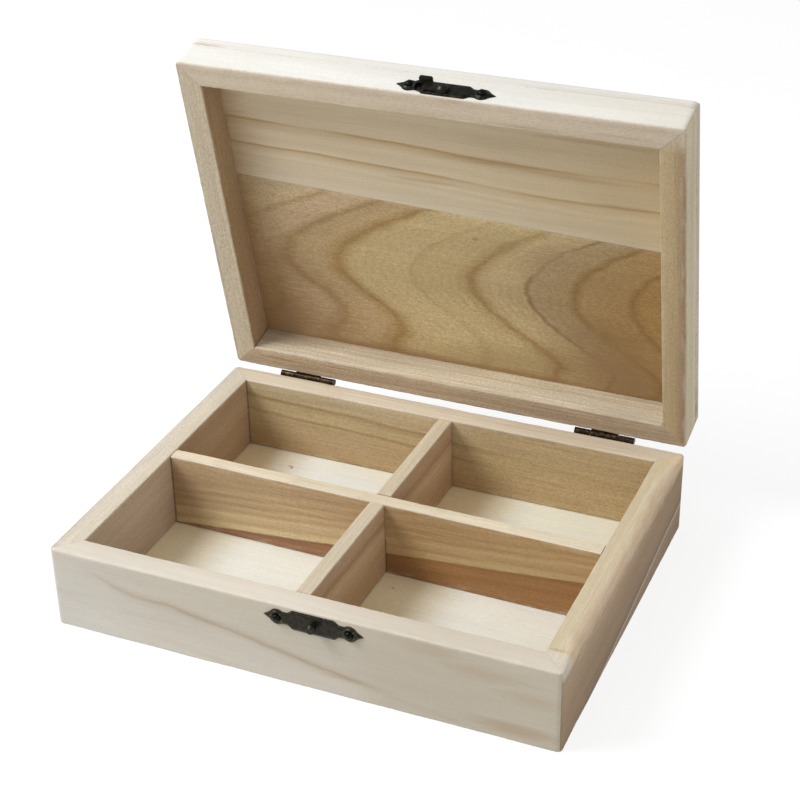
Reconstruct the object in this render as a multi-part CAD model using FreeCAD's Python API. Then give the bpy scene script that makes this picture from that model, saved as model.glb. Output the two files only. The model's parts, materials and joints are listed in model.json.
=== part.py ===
"""Wooden box with four compartments, a hinged lid and a swing-hook latch.

Millimetres. X runs along the front, Y to the back, Z up. The origin is the centre of the
underside. Every piece is drawn with the lid shut; the lid and what it carries are then turned
open about the hinge axis, and the hook stays swung aside.
"""
import FreeCAD
import Part
import math
import os

V = FreeCAD.Vector

# Box body: four mitred walls
box_width = 200.0
box_depth = 150.0
box_height = 34.0
box_wall = 9.7
corner_round = 2.0
rim_round = 0.8
edge_chamfer = 0.4

# Thin base let into a rabbet, flush with the underside
base_thickness = 2.0
rabbet_width = 4.5
base_clearance = 0.1

# Dividers, half-lapped where they cross; the skew is how far apart the places of their two ends are
divider_thickness = 6.0
divider_drop = 0.3
long_divider_y = 0.9
long_divider_skew = -1.8
cross_divider_x = 0.5
cross_divider_skew = 2.0
lap_clearance = 0.1

# Lid: four mitred walls under a panel glued up from two boards
seam_gap = 0.2
lid_wall = 9.7
lid_wall_height = 13.5
panel_thickness = 5.5
panel_round = 1.8
glue_line_y = -12.9
glue_line_rise = 7.2
lid_open_angle = 77.4

# Butt hinges on the back
hinge_length = 25.0
hinge_inset = 21.3
hinge_axis_behind = 1.5
knuckle_radius = 1.3
end_knuckle = 6.5
knuckle_gap = 0.3
leaf_thickness = 0.7
leaf_height = 7.6
leaf_corner = 1.0
pin_radius = 0.6
pin_clearance = 0.05
hinge_nail_margin = 5.0
hinge_nail_inset = 4.0

# Nails
nail_radius = 0.7
nail_length = 6.0
nail_head_radius = 1.5
nail_head_height = 0.75
nail_clearance = 0.03

# Latch plates, which are nailed on slightly apart from the line of the hook
lid_plate_x = 9.5
box_plate_x = 8.0
lid_plate_rise = 4.6
box_plate_drop = 5.2
plate_thickness = 0.8
plate_bevel = 0.35
plate_body_length = 19.6
plate_body_height = 7.6
plate_taper_length = 2.6
plate_taper_height = 1.6
plate_neck_height = 3.6
lobe_x = 14.05
lobe_radius = 2.9
finial_length = 5.2
finial_angle = 40.0

# Hook lever, its rivet and the knob it catches
latch_x = 8.6
pivot_drop = 0.9
stud_rise = 0.3
rivet_radius = 1.2
rivet_head_radius = 2.1
rivet_head_height = 0.8
rivet_clearance = 0.05
stud_radius = 1.1
stud_head_radius = 1.9
stud_head_height = 2.4
lever_thickness = 1.0
lever_lift = 0.1
lever_boss_radius = 2.6
lever_arm_width = 3.6
hook_clearance = 0.35
hook_rim = 1.2
hook_head_radius = 3.0
tab_start = 4.4
tab_length = 5.3
tab_side = 2.8
tab_thickness = 0.8
tab_height = 2.1

# Levels and places that follow from the sizes above
lid_rim = box_height + seam_gap
panel_under = lid_rim + lid_wall_height
hinge_axis_y = box_depth / 2 + hinge_axis_behind
hinge_axis_z = box_height + seam_gap / 2
hinge_x = box_width / 2 - hinge_inset - hinge_length / 2
hinge_centres = {"left": -hinge_x, "right": hinge_x}
leaf_start = knuckle_radius + knuckle_gap
front_face = -box_depth / 2
lid_plate_z = lid_rim + lid_plate_rise
box_plate_z = box_height - box_plate_drop
pivot_z = lid_plate_z - pivot_drop
stud_z = box_plate_z + stud_rise
hook_reach = pivot_z - stud_z
slot_half = stud_radius + hook_clearance
lever_end = hook_reach + slot_half + hook_rim
lever_under = plate_thickness + lever_lift
lever_top = lever_under + lever_thickness

OUTWARD = {"front": V(0, -1, 0), "back": V(0, 1, 0)}
TOL = 1e-4
CROWN_SHARE = 0.55
WAIST_SHARE = 0.8
BULGE_SHARE = 0.5
NAIL_SIDES = 12


def block(x0, x1, y0, y1, z0, z1):
    return Part.makeBox(x1 - x0, y1 - y0, z1 - z0, V(x0, y0, z0))


def is_upright(edge):
    box = edge.BoundBox
    return box.ZLength > TOL and box.XLength < TOL and box.YLength < TOL


def fillet_where(shape, radius, choose):
    return shape.makeFillet(radius, [edge for edge in shape.Edges if choose(edge)])


def chamfer_where(shape, size, choose):
    return shape.makeChamfer(size, [edge for edge in shape.Edges if choose(edge)])


def at_level(z):
    return lambda edge: abs(edge.BoundBox.ZMin - z) < TOL and abs(edge.BoundBox.ZMax - z) < TOL


def rounded_block(z0, z1):
    """Full outline of the box between two levels, with rounded upright corners."""
    half_w = box_width / 2
    half_d = box_depth / 2
    solid = block(-half_w, half_w, -half_d, half_d, z0, z1)
    return fillet_where(solid, corner_round, is_upright)


def hollow_out(frame, wall, z0, z1, rim):
    """Cuts the inside out of a frame and eases the inner edge of its rim."""
    half_w = box_width / 2 - wall
    half_d = box_depth / 2 - wall
    frame = frame.cut(block(-half_w, half_w, -half_d, half_d, z0 - wall, z1 + wall))

    def inner_rim(edge):
        box = edge.BoundBox
        inside = max(-box.XMin, box.XMax) < half_w + TOL and max(-box.YMin, box.YMax) < half_d + TOL
        return inside and at_level(rim)(edge)

    return chamfer_where(frame, edge_chamfer, inner_rim)


def mitre_wedges(wall, z0, z1):
    """Four prisms that part a frame along its 45-degree corner joints."""
    reach = wall + edge_chamfer
    out_w = box_width / 2 + wall
    out_d = box_depth / 2 + wall
    in_w = box_width / 2 - reach
    in_d = box_depth / 2 - reach
    outer = [V(-out_w, -out_d, z0), V(out_w, -out_d, z0), V(out_w, out_d, z0), V(-out_w, out_d, z0)]
    inner = [V(-in_w, -in_d, z0), V(in_w, -in_d, z0), V(in_w, in_d, z0), V(-in_w, in_d, z0)]
    wedges = {}
    for i, side in enumerate(("front", "right", "back", "left")):
        j = (i + 1) % len(outer)
        outline = Part.makePolygon([outer[i], outer[j], inner[j], inner[i], outer[i]])
        wedges[side] = Part.Face(outline).extrude(V(0, 0, z1 - z0))
    return wedges


def split_frame(frame, wall, z0, z1):
    wedges = mitre_wedges(wall, z0, z1)
    return {side: frame.common(wedge).Solids[0] for side, wedge in wedges.items()}


def make_box_walls():
    frame = fillet_where(rounded_block(0, box_height), rim_round, at_level(box_height))
    frame = chamfer_where(frame, edge_chamfer, at_level(0))
    frame = hollow_out(frame, box_wall, 0, box_height, box_height)
    edge_w = box_width / 2 - box_wall + rabbet_width
    edge_d = box_depth / 2 - box_wall + rabbet_width
    frame = frame.cut(block(-edge_w, edge_w, -edge_d, edge_d, -base_thickness, base_thickness))
    return split_frame(frame, box_wall, 0, box_height)


def make_base():
    edge_w = box_width / 2 - box_wall + rabbet_width - base_clearance
    edge_d = box_depth / 2 - box_wall + rabbet_width - base_clearance
    return block(-edge_w, edge_w, -edge_d, edge_d, 0, base_thickness)


def strip(ends, half, z0, z1):
    """Upright prism between two points on opposite walls; half its width is taken along those walls."""
    (x0, y0), (x1, y1) = ends
    aside = V(0, half, 0) if abs(x1 - x0) > abs(y1 - y0) else V(half, 0, 0)
    a = V(x0, y0, z0)
    b = V(x1, y1, z0)
    outline = Part.makePolygon([a - aside, b - aside, b + aside, a + aside, a - aside])
    return Part.Face(outline).extrude(V(0, 0, z1 - z0))


def make_dividers():
    """Two boards that cross: the long one is slotted from below and the other from above."""
    in_w = box_width / 2 - box_wall
    in_d = box_depth / 2 - box_wall
    half = divider_thickness / 2
    slot = half + lap_clearance
    top = box_height - divider_drop
    middle = (base_thickness + top) / 2
    long_ends = [(-in_w, long_divider_y - long_divider_skew / 2),
                 (in_w, long_divider_y + long_divider_skew / 2)]
    cross_ends = [(cross_divider_x - cross_divider_skew / 2, -in_d),
                  (cross_divider_x + cross_divider_skew / 2, in_d)]

    def top_side(edge):
        return at_level(top)(edge) and edge.Length > 2 * divider_thickness

    boards = [chamfer_where(strip(ends, half, base_thickness, top), edge_chamfer, top_side)
              for ends in (long_ends, cross_ends)]
    long_one = boards[0].cut(strip(cross_ends, slot, 0, middle + lap_clearance / 2))
    cross = boards[1].cut(strip(long_ends, slot, middle - lap_clearance / 2, box_height))
    return long_one.Solids[0], cross.Solids[0]


def make_lid_walls():
    frame = fillet_where(rounded_block(lid_rim, panel_under), rim_round, at_level(lid_rim))
    frame = hollow_out(frame, lid_wall, lid_rim, panel_under, lid_rim)
    return split_frame(frame, lid_wall, lid_rim, panel_under)


def make_panel_boards():
    """The lid's top, parted along a glue line that runs slightly out of square."""
    top = panel_under + panel_thickness
    panel = fillet_where(rounded_block(panel_under, top), panel_round, at_level(top))
    reach_w = box_width
    reach_d = box_depth
    slope = glue_line_rise / box_width
    left_y = glue_line_y - slope * reach_w
    right_y = glue_line_y + slope * reach_w
    boards = {}
    for name, far in (("front", -reach_d), ("rear", reach_d)):
        corners = [V(-reach_w, far, panel_under), V(reach_w, far, panel_under),
                   V(reach_w, right_y, panel_under), V(-reach_w, left_y, panel_under)]
        outline = Part.makePolygon(corners + corners[:1])
        boards[name] = panel.common(Part.Face(outline).extrude(V(0, 0, panel_thickness))).Solids[0]
    return boards


def turned_pin(outline):
    """Solid of revolution about Z from the radius and level of each corner of its outline."""
    corners = [V(0, 0, outline[0][1])] + [V(r, 0, z) for r, z in outline] + [V(0, 0, outline[-1][1])]
    profile = Part.makePolygon(corners + corners[:1])
    return Part.Face(profile).revolve(V(0, 0, 0), V(0, 0, 1), 360)


def make_rivet():
    """Shank with a head that tapers to a flat crown."""
    head = lever_top + lever_lift
    return turned_pin([(rivet_radius, 0), (rivet_radius, head), (rivet_head_radius, head),
                       (rivet_head_radius * CROWN_SHARE, head + rivet_head_height)])


def make_stud():
    """Shank with a knob that swells to half its height and narrows to a flat crown."""
    head = lever_top + hook_clearance
    return turned_pin([(stud_radius, 0), (stud_radius, head), (stud_head_radius * WAIST_SHARE, head),
                       (stud_head_radius, head + stud_head_height * BULGE_SHARE),
                       (stud_head_radius * CROWN_SHARE, head + stud_head_height)])


def stand_on(shape, point, outward):
    """Moves a piece drawn along Z so that Z points out of a wall at the given point."""
    placed = shape.copy()
    placed.Placement = FreeCAD.Placement(point, FreeCAD.Rotation(V(0, 0, 1), outward))
    return placed


def nail_section(radius, z):
    """Wire of a nail's many-sided section at a level."""
    turn = 2 * math.pi / NAIL_SIDES
    corners = [V(radius * math.cos(i * turn), radius * math.sin(i * turn), z) for i in range(NAIL_SIDES)]
    return Part.makePolygon(corners + corners[:1])


def nail(point, outward, seat):
    """Nail driven into a wall at a point, with a tapered head on a plate as thick as the seat."""
    shank = Part.Face(nail_section(nail_radius, -nail_length)).extrude(V(0, 0, nail_length + seat))
    top = seat + nail_head_height
    head = Part.makeLoft([nail_section(nail_head_radius, seat),
                          nail_section(nail_head_radius * CROWN_SHARE, top)], True, True)
    return stand_on(shank.fuse(head).removeSplitter().Solids[0], point, outward)


def nail_hole(point, outward, deep, out):
    hole = Part.Face(nail_section(nail_radius + nail_clearance, -deep)).extrude(V(0, 0, deep + out))
    return stand_on(hole, point, outward)


def round_hole(point, outward, radius, out):
    hole = Part.makeCylinder(radius + nail_clearance, 2 * out, V(0, 0, -out))
    return stand_on(hole, point, outward)


def cut_all(shape, tools):
    return shape.cut(Part.makeCompound(tools)) if tools else shape


def barrel(radius, x0, x1):
    return Part.makeCylinder(radius, x1 - x0, V(x0, hinge_axis_y, hinge_axis_z), V(1, 0, 0))


def hinge_nail_points(centre, side):
    """Nail places of one leaf: side is +1 on the lid and -1 on the box."""
    z = hinge_axis_z + side * (leaf_start + leaf_height - hinge_nail_inset)
    from_centre = hinge_length / 2 - hinge_nail_margin
    return [V(centre + s * from_centre, box_depth / 2, z) for s in (-1, 1)]


def make_leaf(centre, side, knuckles):
    """Leaf plate with tongues that run into the rolled knuckles."""
    half = hinge_length / 2
    y0 = box_depth / 2
    near = hinge_axis_z + side * leaf_start
    far = near + side * leaf_height
    plate = block(centre - half, centre + half, y0, y0 + leaf_thickness, min(near, far), max(near, far))

    def far_corner(edge):
        box = edge.BoundBox
        return box.YLength > TOL and box.XLength < TOL and abs(box.ZMin - far) < TOL

    leaf = fillet_where(plate, leaf_corner, far_corner)
    for x0, x1 in knuckles:
        a = centre - half + x0
        b = centre - half + x1
        tongue = block(a, b, y0, y0 + leaf_thickness, min(near, hinge_axis_z), max(near, hinge_axis_z))
        leaf = leaf.fuse(tongue).fuse(barrel(knuckle_radius, a, b))
    bore = barrel(pin_radius + pin_clearance, centre - half, centre + half)
    holes = [nail_hole(p, OUTWARD["back"], 0, leaf_thickness) for p in hinge_nail_points(centre, side)]
    return cut_all(leaf.cut(bore), holes).removeSplitter().Solids[0]


def make_pin(centre):
    return barrel(pin_radius, centre - hinge_length / 2, centre + hinge_length / 2)


def latch_nail_points(x, z):
    return [V(x + s * lobe_x, front_face, z) for s in (-1, 1)]


def outline_face(points):
    corners = [V(x, 0, z) for x, z in points]
    return Part.Face(Part.makePolygon(corners + corners[:1]))


def disc_face(radius, x=0.0, z=0.0):
    return Part.Face(Part.Wire(Part.makeCircle(radius, V(x, 0, z), V(0, 1, 0))))


def sheet_face(x0, x1, z0, z1):
    return outline_face([(x0, z0), (x1, z0), (x1, z1), (x0, z1)])


def stamped(faces, base, height):
    """One flat piece from overlapping faces in XZ, between two distances off the front wall."""
    solids = [face.extrude(V(0, -height, 0)) for face in faces]
    piece = solids[0].fuse(solids[1:]).removeSplitter() if len(solids) > 1 else solids[0]
    piece.translate(V(0, -base, 0))
    return piece


def plate_faces():
    """Outline about its centre: body with tapered ends, necks, round lobes and pointed finials."""
    body_l = plate_body_length / 2
    body_h = plate_body_height / 2
    corner = [(body_l, body_h - plate_taper_height), (body_l - plate_taper_length, body_h)]
    ring = corner + [(-x, z) for x, z in reversed(corner)]
    ring += [(x, -z) for x, z in reversed(ring)]
    neck = plate_neck_height / 2
    faces = [outline_face(ring), sheet_face(-lobe_x, lobe_x, -neck, neck)]
    for s in (-1, 1):
        faces.append(disc_face(lobe_radius, s * lobe_x))
        faces.append(finial_face(s))
    return faces


def finial_face(s):
    """Point of an end lobe, drawn from two places on the lobe's rim to the tip."""
    angle = math.radians(finial_angle)
    root_x = s * (lobe_x + lobe_radius * math.cos(angle))
    root_z = lobe_radius * math.sin(angle)
    return outline_face([(s * lobe_x, -root_z), (root_x, -root_z), (s * (lobe_x + finial_length), 0),
                         (root_x, root_z), (s * lobe_x, root_z)])


def make_latch_plate(x, z, holes):
    """Stamped plate against the front face, its outer edges bevelled all round."""
    plate = stamped(plate_faces(), 0, plate_thickness)

    def outer_edge(edge):
        return abs(edge.BoundBox.YMax + plate_thickness) < TOL

    plate = chamfer_where(plate, plate_bevel, outer_edge)
    plate.translate(V(x, front_face, z))
    return cut_all(plate, holes).Solids[0]


def make_lever():
    """Hook lever about its rivet, swung to the left; the slot opens downwards on this side."""
    arm = lever_arm_width / 2
    hook_x = -(lever_end - hook_head_radius)
    tab_end = -tab_start - tab_length
    flat = stamped([disc_face(lever_boss_radius), disc_face(hook_head_radius, hook_x),
                    sheet_face(hook_x, 0, -arm, arm), sheet_face(tab_end, -tab_start, 0, tab_side)],
                   lever_under, lever_thickness)
    sweep = disc_face(hook_reach + slot_half).cut(disc_face(hook_reach - slot_half))
    sweep = sweep.common(sheet_face(-lever_end, 0, -lever_end, 0))
    cuts = [stamped([face], 0, lever_top * 2) for face in
            (sweep.Faces[0], disc_face(slot_half, -hook_reach), disc_face(rivet_radius + rivet_clearance))]
    for tool in cuts:
        flat = flat.cut(tool)
    tab = stamped([sheet_face(tab_end, -tab_start, tab_side - tab_thickness, tab_side)],
                  lever_under, lever_thickness + tab_height)

    def tab_corner(edge):
        box = edge.BoundBox
        return box.ZLength > TOL and box.XLength < TOL and abs(box.YMin + lever_top + tab_height) < TOL

    tab = fillet_where(tab, tab_thickness, tab_corner)
    lever = flat.fuse(tab).removeSplitter().Solids[0]
    lever.translate(V(latch_x, front_face, pivot_z))
    return lever


def turned_open(shape):
    turned = shape.copy()
    turned.rotate(V(0, hinge_axis_y, hinge_axis_z), V(1, 0, 0), -lid_open_angle)
    return turned


def build():
    """Returns the pieces of the box, and those that the lid carries, by name."""
    fixed = {}
    carried = {}
    walls = make_box_walls()
    lid_walls = make_lid_walls()
    long_one, cross = make_dividers()
    boards = make_panel_boards()
    box_nail_places = latch_nail_points(box_plate_x, box_plate_z)
    lid_nail_places = latch_nail_points(lid_plate_x, lid_plate_z)
    hinge_places = {side: [p for x in hinge_centres.values() for p in hinge_nail_points(x, side)]
                    for side in (-1, 1)}

    def pilot(points, outward):
        return [nail_hole(p, outward, nail_length, 0) for p in points]

    walls["front"] = cut_all(walls["front"], pilot(box_nail_places, OUTWARD["front"]))
    walls["back"] = cut_all(walls["back"], pilot(hinge_places[-1], OUTWARD["back"]))
    lid_walls["front"] = cut_all(lid_walls["front"], pilot(lid_nail_places, OUTWARD["front"]))
    lid_walls["back"] = cut_all(lid_walls["back"], pilot(hinge_places[1], OUTWARD["back"]))
    for side in ("front", "back", "left", "right"):
        fixed["box_%s_wall" % side] = walls[side]
        carried["lid_%s_wall" % side] = lid_walls[side]
    fixed["box_base_panel"] = make_base()
    fixed["long_divider"] = long_one
    fixed["cross_divider"] = cross
    for name, board in boards.items():
        carried["lid_panel_%s_board" % name] = board

    mid_from = end_knuckle + knuckle_gap
    mid_to = hinge_length - end_knuckle - knuckle_gap
    ends = [(0, end_knuckle), (hinge_length - end_knuckle, hinge_length)]
    for name, centre in hinge_centres.items():
        fixed["%s_hinge_box_leaf" % name] = make_leaf(centre, -1, ends)
        fixed["%s_hinge_pin" % name] = make_pin(centre)
        carried["%s_hinge_lid_leaf" % name] = make_leaf(centre, 1, [(mid_from, mid_to)])

    def nails(hinge_points, latch_points):
        group = [nail(p, OUTWARD["back"], leaf_thickness) for p in hinge_points]
        group += [nail(p, OUTWARD["front"], plate_thickness) for p in latch_points]
        return Part.makeCompound(group)

    fixed["box_nails"] = nails(hinge_places[-1], box_nail_places)
    carried["lid_nails"] = nails(hinge_places[1], lid_nail_places)

    stud_at = V(latch_x, front_face, stud_z)
    pivot_at = V(latch_x, front_face, pivot_z)

    def plate_holes(places, middle, radius):
        through = plate_thickness * 2
        holes = [nail_hole(p, OUTWARD["front"], 0, through) for p in places]
        return holes + [round_hole(middle, OUTWARD["front"], radius, through)]

    box_plate_holes = plate_holes(box_nail_places, stud_at, stud_radius)
    lid_plate_holes = plate_holes(lid_nail_places, pivot_at, rivet_radius)
    fixed["latch_box_plate"] = make_latch_plate(box_plate_x, box_plate_z, box_plate_holes)
    carried["latch_lid_plate"] = make_latch_plate(lid_plate_x, lid_plate_z, lid_plate_holes)
    fixed["latch_stud"] = stand_on(make_stud(), stud_at, OUTWARD["front"])
    carried["latch_rivet"] = stand_on(make_rivet(), pivot_at, OUTWARD["front"])
    carried["latch_lever"] = make_lever()
    return fixed, carried


os.makedirs("parts", exist_ok=True)
box_pieces, lid_pieces = build()
pieces = dict(box_pieces)
pieces.update({name: turned_open(shape) for name, shape in lid_pieces.items()})
for node, piece in pieces.items():
    print(node, len(piece.Solids), round(piece.Volume, 2), piece.isValid())
    piece.exportStep("parts/%s.step" % node)
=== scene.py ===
"""Looks of the wooden compartment box: sawn boards, bronze fittings, studio floor, light and camera.

Sizes in millimetres are turned to metres by MM. Boards are drawn in a frame of their own, with X along
the grain, so that the wood's figure follows each board. Lid pieces are drawn as if the lid were shut
and then turned open with the hinge.
"""
import json
import math
import bmesh
import bpy
from mathutils import Matrix, Vector, noise

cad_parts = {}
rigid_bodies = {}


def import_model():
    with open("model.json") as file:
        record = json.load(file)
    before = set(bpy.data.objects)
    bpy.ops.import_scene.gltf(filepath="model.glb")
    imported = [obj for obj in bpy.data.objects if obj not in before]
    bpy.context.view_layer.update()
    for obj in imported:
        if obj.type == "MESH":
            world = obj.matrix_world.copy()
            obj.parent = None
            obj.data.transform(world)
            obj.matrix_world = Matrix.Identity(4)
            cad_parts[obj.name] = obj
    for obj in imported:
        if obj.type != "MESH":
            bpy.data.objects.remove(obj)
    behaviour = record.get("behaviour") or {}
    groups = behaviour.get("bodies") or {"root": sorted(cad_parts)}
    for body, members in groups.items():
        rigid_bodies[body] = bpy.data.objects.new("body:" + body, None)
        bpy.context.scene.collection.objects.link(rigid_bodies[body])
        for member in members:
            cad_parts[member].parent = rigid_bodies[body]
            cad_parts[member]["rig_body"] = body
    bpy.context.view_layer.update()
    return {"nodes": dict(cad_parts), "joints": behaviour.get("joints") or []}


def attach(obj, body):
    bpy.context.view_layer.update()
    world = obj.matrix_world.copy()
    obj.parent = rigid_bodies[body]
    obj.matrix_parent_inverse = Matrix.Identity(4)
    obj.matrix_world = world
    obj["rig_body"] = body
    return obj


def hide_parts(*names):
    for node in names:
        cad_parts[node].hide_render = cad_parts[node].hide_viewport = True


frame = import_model()

MM = 0.001
TOL = 0.01
LOW = 0
HIGH = 1
IDENTITY = Matrix.Identity(4)
SIDES = ("front", "right", "back", "left")

# The lid's turn from shut to its open rest
LID_HINGE = {joint["name"]: joint for joint in frame["joints"]}["lid_hinge"]
HINGE = Vector(LID_HINGE["pos_m"])
OPEN_DEG = -LID_HINGE["range_deg"][LOW]
OPENED = (Matrix.Translation(HINGE) @ Matrix.Rotation(math.radians(-OPEN_DEG), 4, "X")
          @ Matrix.Translation(-HINGE))


def shut_points(node):
    """A node's points in millimetres, with the lid turned shut."""
    obj = frame["nodes"][node]
    turn = OPENED.inverted() if obj["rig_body"] != "box" else IDENTITY
    return [turn @ vertex.co / MM for vertex in obj.data.vertices]


def corners_of(points):
    """Lowest and highest corner of some points."""
    return [Vector(pick(p[i] for p in points) for i in range(3)) for pick in (min, max)]


def shut_box(node):
    """Lowest and highest corner of a node in millimetres, with the lid turned shut."""
    return corners_of(shut_points(node))


def ends_of(node, axis):
    """Low and high side of a flat board's two ends along X (axis 0) or Y (axis 1)."""
    points = shut_points(node)
    found = []
    for pick in (min, max):
        end = pick(p[axis] for p in points)
        across = [p[1 - axis] for p in points if abs(p[axis] - end) < TOL]
        found.append((min(across), max(across)))
    return found


def sides_at(ends, half, x):
    """Low and high side of a board out of square, at a place along its length."""
    share = (x + half) / (2 * half)
    return [a + (b - a) * share for a, b in zip(*ends)]


def glue_at(side):
    """Where the glue line of the lid's two boards meets the lid's left (-1) or right (1) side."""
    return min(p.y for p in shut_points("lid_panel_rear_board") if side * p.x > WIDTH / 2 - TOL)


# Sizes read from the frame, in millimetres
left_low, left_high = shut_box("box_left_wall")
base_low, base_high = shut_box("box_base_panel")
lid_low, lid_high = shut_box("lid_front_wall")
WIDTH = shut_box("box_right_wall")[HIGH].x - left_low.x
DEPTH = shut_box("box_back_wall")[HIGH].y - shut_box("box_front_wall")[LOW].y
HEIGHT = left_high.z
WALL = left_high.x - left_low.x
BASE = base_high.z
RABBET = base_high.x - (WIDTH / 2 - WALL)
DIVIDER_TOP = shut_box("long_divider")[HIGH].z
LONG_HALF = WIDTH / 2 - WALL
CROSS_HALF = DEPTH / 2 - WALL
LONG_ENDS = ends_of("long_divider", 0)
CROSS_ENDS = ends_of("cross_divider", 1)
LONG_MID = sides_at(LONG_ENDS, LONG_HALF, 0)
CROSS_MID = sides_at(CROSS_ENDS, CROSS_HALF, 0)
LID_RIM = lid_low.z
PANEL_UNDER = lid_high.z
PANEL_THICK = shut_box("lid_panel_rear_board")[HIGH].z - PANEL_UNDER
GLUE_LEFT = glue_at(-1)
GLUE_RIGHT = glue_at(1)

# Edges of the boards as sanded, in millimetres; the right wall's rim grows rounder from its ends inwards
CORNER = 2.0
CORNER_DEEP = CORNER * (1 - math.sqrt(0.5))
RIM_ROUND = 1.0
RIGHT_RIM_ROUND = 5.5
RIGHT_RIM_RUN = 0.3
INNER_ROUND = 0.5
FOOT_ROUND = 0.4
PANEL_ROUND = 1.8
PANEL_FALL = 0.5
PANEL_END_ROUND = 0.2
HIDDEN_ROUND = 0.1
GLUE_ROUND = 0.05

# Gaps between the boards, and where walls and dividers begin above the base
MITRE_GAP = 0.05
GLUE_GAP = 0.02
FOOT_GAP = 0.25
FOOT_AT = BASE + FOOT_GAP
END_GAP = 0.3
LAP_GAP = 0.3

# Torn edges: how deep, how calm near a wall's ends, and how quickly waves and teeth follow each other
TORN = 0.25
TORN_CALM = 3.0
WAVE_SEED = 3.1
WAVE_RATE = (0.06, 0.05)
TOOTH_RATE = (0.55, 0.3, 0.3)
TORN_MIX = (0.2, 0.8, 0.6)

# Reach of the rubbed edges and of the painted shade at a board's ends, inside a corner and under an upper
# edge
WEAR_FROM = 0.2
WEAR_TO = 1.6
SEAM = 0.6
SEAM_FULL = 0.18
SEAM_INSIDE = (0.3, 0.05)
SEAM_UNDER = (0.4, 1.2)

# Steps of the meshes
COLUMN = 1.2
END_DENSE = 1.0
END_COLUMNS = 5
RUN_STEPS = 10
ARC_STEPS = 6
JUMP = 0.01
SHARP_DEG = 35.0


def linear(red, green, blue):
    """Scene colour of an 8-bit display colour."""
    def one(value):
        share = value / 255
        return share / 12.92 if share <= 0.04045 else ((share + 0.055) / 1.055) ** 2.4
    return (one(red), one(green), one(blue))


# Materials; pieces of different seeds lie apart in the noise by this stride, in millimetres

SEED_STRIDE = (137.3, 59.1, 211.7)


class Nodes:
    """Short calls for building a material's node tree."""

    def __init__(self, name):
        self.material = bpy.data.materials.new(name)
        self.material.use_nodes = True
        self.tree = self.material.node_tree
        self.tree.nodes.clear()
        self.output = self.add("ShaderNodeOutputMaterial")

    def add(self, kind, **settings):
        node = self.tree.nodes.new(kind)
        for key, value in settings.items():
            setattr(node, key, value)
        return node

    def feed(self, socket, value):
        """Links an output to a socket, or sets the socket's own value."""
        if isinstance(value, bpy.types.NodeSocket):
            self.tree.links.new(value, socket)
        elif socket.type == "RGBA" and len(value) == 3:
            socket.default_value = (*value, 1.0)
        else:
            socket.default_value = value

    def put(self, kind, inputs, output=0, **settings):
        """Adds a node, feeds its inputs by name or number, and gives one of its outputs."""
        node = self.add(kind, **settings)
        for key, value in inputs.items():
            self.feed(node.inputs[key], value)
        return node.outputs[output]

    def show(self, shader):
        self.feed(self.output.inputs["Surface"], shader)

    def millimetres(self, seed):
        """The piece's own coordinates, and the same moved to a place of their own in the noise."""
        place = self.scale(self.add("ShaderNodeTexCoord").outputs["Object"], 1 / MM)
        return place, self.vector("ADD", place, [seed * stride for stride in SEED_STRIDE])

    def mark(self, name):
        """Share kept on the points of the mesh."""
        return self.add("ShaderNodeAttribute", attribute_name=name).outputs["Fac"]

    def split(self, vector):
        node = self.add("ShaderNodeSeparateXYZ")
        self.feed(node.inputs[0], vector)
        return node.outputs

    def math(self, operation, a, b=0.0, c=0.0, clamp=False):
        return self.put("ShaderNodeMath", {0: a, 1: b, 2: c}, operation=operation, use_clamp=clamp)

    def vector(self, operation, a, b=(0, 0, 0)):
        output = "Value" if operation in ("DOT_PRODUCT", "LENGTH") else "Vector"
        return self.put("ShaderNodeVectorMath", {0: a, 1: b}, output, operation=operation)

    def scale(self, vector, factor):
        return self.put("ShaderNodeVectorMath", {0: vector, "Scale": factor}, "Vector", operation="SCALE")

    def noise(self, place, rates, detail=2.0, roughness=0.5):
        inputs = {"Vector": self.vector("MULTIPLY", place, rates), "Scale": 1.0, "Detail": detail,
                  "Roughness": roughness}
        return self.put("ShaderNodeTexNoise", inputs, "Fac")

    def swing(self, place, rates, detail=2.0, roughness=0.5):
        """Noise about zero, within one either way."""
        return self.math("MULTIPLY_ADD", self.noise(place, rates, detail, roughness), 2.0, -1.0)

    def span(self, value, low, high, to_low=0.0, to_high=1.0):
        """A stretch of values turned to another one and held at its ends."""
        inputs = {"Value": value, "From Min": low, "From Max": high, "To Min": to_low, "To Max": to_high}
        return self.put("ShaderNodeMapRange", inputs, "Result", clamp=True)

    def bands(self, value, stops, smooth="LINEAR"):
        """Colours over a value; stops are pairs of the value, rising, and a colour or a grey level."""
        first, last = stops[0][0], stops[-1][0]
        node = self.add("ShaderNodeValToRGB")
        node.color_ramp.interpolation = smooth
        points = node.color_ramp.elements
        for point, (_, colour) in zip(points, (stops[0], stops[-1])):
            point.color = self.opaque(colour)
        for place, colour in stops[1:-1]:
            points.new((place - first) / (last - first)).color = self.opaque(colour)
        self.feed(node.inputs[0], self.span(value, first, last))
        return node.outputs["Color"]

    @staticmethod
    def opaque(colour):
        return (*colour, 1.0) if hasattr(colour, "__len__") else (colour, colour, colour, 1.0)

    def mix(self, share, a, b):
        return self.put("ShaderNodeMix", {0: share, 6: a, 7: b}, 2, data_type="RGBA")

    def bump(self, height, strength, distance):
        inputs = {"Strength": strength, "Distance": distance, "Height": height}
        return self.put("ShaderNodeBump", inputs, "Normal")


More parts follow.
